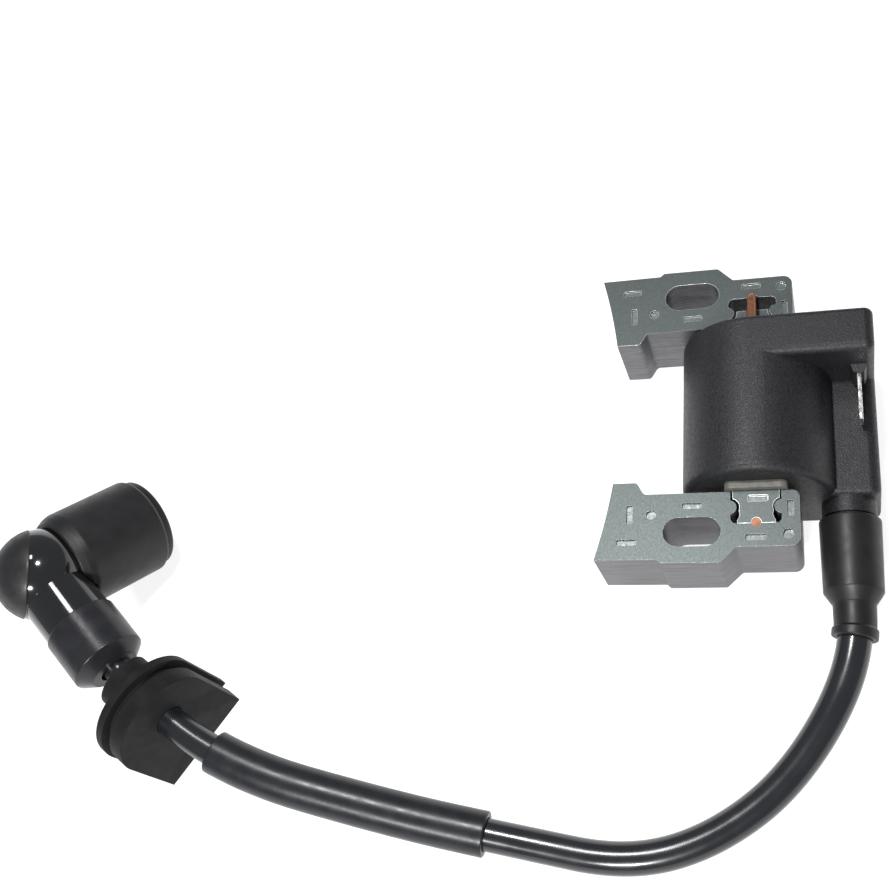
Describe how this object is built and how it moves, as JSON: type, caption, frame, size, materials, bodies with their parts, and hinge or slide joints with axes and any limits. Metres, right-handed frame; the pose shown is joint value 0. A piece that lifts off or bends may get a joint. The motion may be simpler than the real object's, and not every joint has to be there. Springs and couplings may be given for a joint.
{
  "type": "ignition coil",
  "caption": "Small-engine ignition coil: split laminated core with slotted arms, potted round-sided housing, stop-switch tab, and an HT lead with sleeve, grommet and right-angle plug cap.",
  "frame": {"origin": "midway between the centres of the two bolt slots, on the core's back face", "axes": "+X along the coil's axis towards the HT tower, +Y away from the flywheel, +Z out of the core's front face"},
  "size_m": [0.1314, 0.2051, 0.0394],
  "materials": {
    "lamination_steel": "satin rolled steel sheet edges",
    "housing_plastic": "fine moulded texture, glass-filled plastic",
    "epoxy": "cast potting resin, slightly wavy",
    "bobbin_nylon": "moulded nylon",
    "copper_wire": "bare or enamelled copper",
    "circuit_board": "glass-epoxy laminate",
    "moulded_epoxy": "transistor package",
    "chip_ceramic": "ceramic chip",
    "tinned_brass": "bright tin plate",
    "boot_rubber": "matte moulded rubber",
    "lead_jacket": "semi-gloss extruded jacket",
    "sleeve_rubber": "satin extruded tube",
    "phenolic": "glossy moulded phenolic",
    "phenolic_satin": "satin moulded dome",
    "brass": "turned or pressed brass",
    "spring_steel": "drawn spring wire",
    "resistor_ceramic": "fired ceramic body"
  },
  "bodies": {
    "coil": {"upper_arm_laminations": "lamination_steel", "lower_arm_laminations": "lamination_steel", "centre_bar_laminations": "lamination_steel", "core_pin": "copper_wire", "ground_wire": "copper_wire", "housing_shell": "housing_plastic", "potting_compound": "epoxy", "primary_bobbin": "bobbin_nylon", "primary_winding": "copper_wire", "secondary_bobbin": "bobbin_nylon", "secondary_winding": "copper_wire", "igniter_board": "circuit_board", "power_transistor": "moulded_epoxy", "trigger_resistors": "chip_ceramic", "kill_terminal": "tinned_brass", "ht_output_pin": "brass", "ht_link_wire": "copper_wire", "tower_boot": "boot_rubber", "ht_lead": "lead_jacket", "lead_conductor": "tinned_brass", "protective_sleeve": "sleeve_rubber"},
    "grommet": {"shroud_grommet": "boot_rubber"},
    "plug_cap": {"cap_elbow": "phenolic", "end_plug": "phenolic_satin", "lead_seal": "boot_rubber", "plug_boot": "boot_rubber", "contact_pin": "brass", "contact_spring": "spring_steel", "suppressor_resistor": "resistor_ceramic", "plug_clip": "brass"}
  },
  "joints": [
    {"name": "grommet_slide", "type": "slide", "parent": "coil", "child": "grommet", "axis": [0.5572, 0.819, -0.137], "range_m": [0, 0.004]},
    {"name": "cap_swivel", "type": "hinge", "parent": "coil", "child": "plug_cap", "pos_m": [0.0366, -0.1554, 0.0205], "axis": [0.6942, 0.7, -0.1677], "range_deg": [0, 150]}
  ]
}
